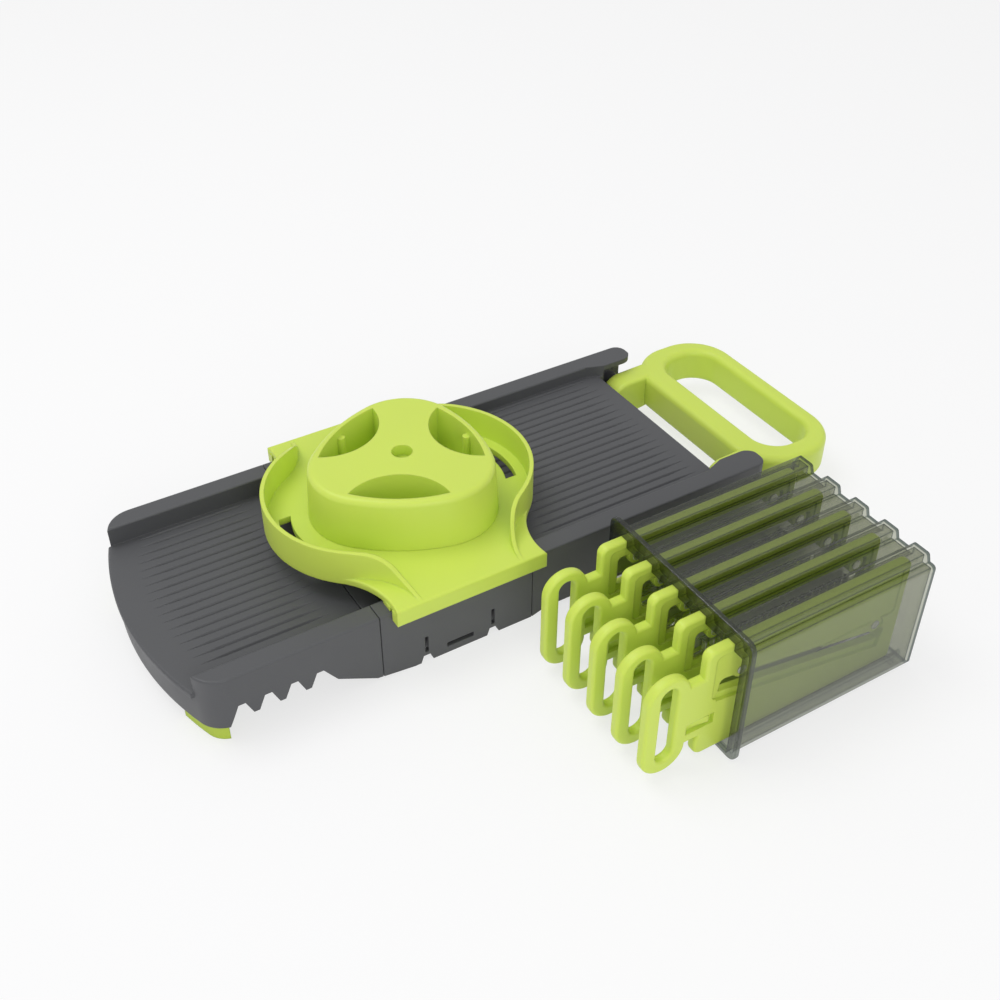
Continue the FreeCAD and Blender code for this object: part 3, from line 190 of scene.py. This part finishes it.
def show_mix(tree, share, first, second):
    """Show the first shader on the surface, with the share of the second in it."""
    mix = tree.nodes.new("ShaderNodeMixShader")
    tree.links.new(share, mix.inputs["Fac"])
    tree.links.new(first, mix.inputs[1])
    tree.links.new(second, mix.inputs[2])
    tree.links.new(mix.outputs["Shader"], tree.nodes["Material Output"].inputs["Surface"])


def mottle(tree, field, colour, amount):
    """The colour made a little lighter and darker by the field."""
    darker = [part * (1 - amount) for part in colour]
    lighter = [part * (1 + amount) for part in colour]
    blend_colours(tree, field, darker, lighter, shader_of(tree).inputs["Base Color"])


def bevelled_normal(tree, radius):
    bevel = tree.nodes.new("ShaderNodeBevel")
    bevel.samples = BEVEL_SAMPLES
    bevel.inputs["Radius"].default_value = radius
    return bevel.outputs["Normal"]


def soft_edges(tree, grain, depth):
    """Rounded-looking edges with the grain embossed on top."""
    bump = tree.nodes.new("ShaderNodeBump")
    bump.inputs["Strength"].default_value = 1.0
    bump.inputs["Distance"].default_value = depth
    tree.links.new(grain, bump.inputs["Height"])
    tree.links.new(bevelled_normal(tree, EDGE_SOFTNESS), bump.inputs["Normal"])
    tree.links.new(bump.outputs["Normal"], shader_of(tree).inputs["Normal"])


def plastic(name, colour, roughness, grain_scale, grain_depth):
    material, tree = new_material(name)
    shader = shader_of(tree)
    shader.inputs["IOR"].default_value = PLASTIC_IOR
    mottle(tree, noise_at(tree, MOTTLE_SCALE, MOTTLE_DETAIL), colour, MOTTLE_AMOUNT)
    patches = noise_at(tree, PATCH_SCALE, PATCH_DETAIL)
    shine = spread(tree, patches, roughness - PATCH_CONTRAST, roughness + PATCH_CONTRAST)
    tree.links.new(shine, shader.inputs["Roughness"])
    soft_edges(tree, noise_at(tree, grain_scale, GRAIN_DETAIL), grain_depth)
    return material


def charcoal_plastic():
    return plastic("charcoal_plastic", CHARCOAL, roughness=0.46, grain_scale=1400, grain_depth=0.00003)


def dark_plastic():
    return plastic("dark_plastic", DARK, roughness=0.5, grain_scale=1200, grain_depth=0.00002)


def lime_soft():
    return plastic("lime_soft", LIME_SOFT, roughness=0.6, grain_scale=700, grain_depth=0.00003)


def lime_plastic():
    material = plastic("lime_plastic", LIME, roughness=0.4, grain_scale=900, grain_depth=0.00001)
    shader = shader_of(material.node_tree)
    shader.inputs["Subsurface Weight"].default_value = SINK_SHARE
    shader.inputs["Subsurface Radius"].default_value = SINK_REACH
    shader.inputs["Subsurface Scale"].default_value = SINK_SCALE
    return material


def painted_edge_shade(tree, radius):
    """Painted shade: 1 along the piece's edges and where its surface turns away, 0 on its plain faces.
    """
    geometry = tree.nodes.new("ShaderNodeNewGeometry")
    likeness = tree.nodes.new("ShaderNodeVectorMath")
    likeness.operation = "DOT_PRODUCT"
    tree.links.new(bevelled_normal(tree, radius), likeness.inputs[0])
    tree.links.new(geometry.outputs["True Normal"], likeness.inputs[1])
    edges = spread(tree, likeness.outputs["Value"], 0.0, 1.0, EDGE_BEGINS, EDGE_IS_FULL)
    turning = spread(tree, facing_away(tree), 0.0, 1.0, TURN_BEGINS, TURN_IS_FULL)
    return greater(tree, edges, turning)


def low_painted_shade(tree, position, edge, width, dark):
    """How dark the painted shade on the rim is, from its low edge across its width, and 0 beyond it."""
    return spread(tree, position, dark, 0.0, edge + width, edge + width + RIM_BLUR)


def painted_rim_shade(tree, node):
    """Painted shade: 1 on the rear end's outline, less on the front flange and the foot of the piece's
    own box.
    """
    corners = [vertex.co for vertex in node.data.vertices]
    front = min(corner.x for corner in corners)
    rear = max(corner.x for corner in corners)
    bottom = min(corner.z for corner in corners)
    place = tree.nodes.new("ShaderNodeTexCoord")
    along = axis_of(tree, place.outputs["Object"], "X")
    up = axis_of(tree, place.outputs["Object"], "Z")
    end = spread(tree, along, 0.0, 1.0, rear - REAR_RIM - RIM_BLUR, rear - REAR_RIM)
    outline = lesser(tree, end, sideways(tree, axis_of(tree, place.outputs["Normal"], "X")))
    flange = low_painted_shade(tree, along, front, FLANGE_RIM, FLANGE_PAINTED_SHADE)
    # Painted shadow on the foot, where the case sits near the floor.
    foot = low_painted_shade(tree, up, bottom, FOOT_RIM, FOOT_PAINTED_SHADE)
    return greater(tree, greater(tree, outline, flange), foot)


def smoke_plastic(node):
    """Clear smoky plastic: it tints what shows through it, darker along its edges, sides and rims as
    painted shade, under a thin gloss.
    """
    material, tree = new_material("smoke_plastic")
    tree.nodes.remove(shader_of(tree))
    clear = tree.nodes.new("ShaderNodeBsdfTransparent")
    # Painted shade: the darker tint goes on the edges, turned-away sides and rims.
    dark = greater(tree, painted_edge_shade(tree, SMOKE_EDGE_WIDTH), painted_rim_shade(tree, node))
    blend_colours(tree, dark, SMOKE, SMOKE_PAINTED_SHADE, clear.inputs["Color"])
    gloss = tree.nodes.new("ShaderNodeBsdfGlossy")
    gloss.inputs["Color"].default_value = (*WHITE, 1)
    patches = noise_at(tree, GLOSS_PATCH_SCALE, GLOSS_PATCH_DETAIL)
    tree.links.new(spread(tree, patches, GLOSS_SMOOTHEST, GLOSS_ROUGHEST), gloss.inputs["Roughness"])
    share = spread(tree, facing_away(tree), GLOSS_HEAD_ON, GLOSS_EDGE_ON, GLOSS_BEGINS, GLOSS_IS_FULL)
    show_mix(tree, share, clear.outputs["BSDF"], gloss.outputs["BSDF"])
    return material


def ground_metal(name, colour, roughness):
    material, tree = new_material(name)
    shader = shader_of(tree)
    shader.inputs["Metallic"].default_value = 1.0
    lines = noise_at(tree, GRIND_SCALE, GRIND_DETAIL, GRIND_STRETCH)
    mottle(tree, lines, colour, GRIND_MOTTLE)
    shine = spread(tree, lines, roughness - GRIND_SMOOTHER, roughness + GRIND_ROUGHER)
    tree.links.new(shine, shader.inputs["Roughness"])
    soft_edges(tree, lines, GRIND_DEPTH)
    return material


def bright_steel():
    return ground_metal("bright_steel", STEEL, roughness=0.22)


def blade_steel():
    return ground_metal("blade_steel", BLADE, roughness=0.3)


def dress(frame):
    """Give every CAD node the material of its slot."""
    materials = {
        "charcoal_plastic": charcoal_plastic(),
        "green_plastic": lime_plastic(),
        "green_grip": lime_soft(),
        "dark_plastic": dark_plastic(),
        "smoke_clear": smoke_plastic(frame["nodes"]["blade_case"]),
        "steel": bright_steel(),
        "blade_steel": blade_steel(),
    }
    slots = {entry["node"]: entry["material_slot"] for entry in frame["record"]["subparts"]}
    for name, node in frame["nodes"].items():
        node.data.materials.clear()
        node.data.materials.append(materials[slots[name]])


def shown_directly(tree, amount):
    """The amount for rays that show the surface to the camera, plainly or through gloss and glass."""
    path = tree.nodes.new("ShaderNodeLightPath")
    total = path.outputs["Is Camera Ray"]
    for name in ("Is Glossy Ray", "Is Transmission Ray"):
        total = greater(tree, total, path.outputs[name])
    scale = tree.nodes.new("ShaderNodeMath")
    scale.operation = "MULTIPLY"
    scale.inputs[1].default_value = amount
    tree.links.new(total, scale.inputs[0])
    return scale.outputs["Value"]


def floor_paper():
    """White paper that keeps a soft shadow."""
    material, tree = new_material("floor_paper")
    shader = shader_of(tree)
    shader.inputs["Base Color"].default_value = (*FLOOR, 1)
    shader.inputs["Roughness"].default_value = FLOOR_ROUGHNESS
    shader.inputs["Specular IOR Level"].default_value = FLOOR_SHINE
    white = tree.nodes.new("ShaderNodeEmission")
    share = shown_directly(tree, FLOOR_LIFT)
    show_mix(tree, share, shader.outputs["BSDF"], white.outputs["Emission"])
    return material


def add_floor():
    bpy.ops.mesh.primitive_plane_add(size=FLOOR_SIZE, location=(0, 0, -FLOOR_DROP))
    floor = bpy.context.object
    floor.name = "floor"
    floor.data.materials.append(floor_paper())


def add_lamp(name, place, power):
    data = bpy.data.lights.new(name, "AREA")
    data.shape = "DISK"
    data.size = LAMP_SIZE
    data.energy = power
    lamp = bpy.data.objects.new(name, data)
    lamp.location = place
    lamp.rotation_euler = (LAMP_AIM - place).to_track_quat("-Z", "Y").to_euler()
    bpy.context.collection.objects.link(lamp)


def add_light():
    world = bpy.data.worlds.new("studio")
    world.use_nodes = True
    background = world.node_tree.nodes["Background"]
    background.inputs["Color"].default_value = (*WHITE, 1)
    background.inputs["Strength"].default_value = SKY_STRENGTH
    bpy.context.scene.world = world
    add_lamp("key", KEY_PLACE, KEY_POWER)
    add_lamp("fill", FILL_PLACE, FILL_POWER)


def add_camera():
    data = bpy.data.cameras.new("photo_camera")
    data.lens = CAMERA_LENS_MM
    data.sensor_width = SENSOR_MM
    camera = bpy.data.objects.new("photo_camera", data)
    turn = (CAMERA_AIM - CAMERA_PLACE).to_track_quat("-Z", "Y").to_matrix().to_4x4()
    roll = Matrix.Rotation(math.radians(CAMERA_ROLL_DEGREES), 4, "Z")
    camera.matrix_world = Matrix.Translation(CAMERA_PLACE) @ turn @ roll
    bpy.context.collection.objects.link(camera)
    bpy.context.scene.camera = camera


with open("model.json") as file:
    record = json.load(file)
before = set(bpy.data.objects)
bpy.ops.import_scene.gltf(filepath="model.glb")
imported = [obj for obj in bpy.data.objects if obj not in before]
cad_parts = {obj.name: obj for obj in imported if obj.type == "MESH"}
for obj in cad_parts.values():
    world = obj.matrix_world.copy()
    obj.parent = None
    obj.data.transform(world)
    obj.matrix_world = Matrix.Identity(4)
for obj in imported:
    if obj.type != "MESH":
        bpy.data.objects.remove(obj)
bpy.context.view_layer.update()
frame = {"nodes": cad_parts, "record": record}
bpy.context.scene.view_settings.view_transform = "Standard"
dress(frame)
add_floor()
add_light()
add_camera()
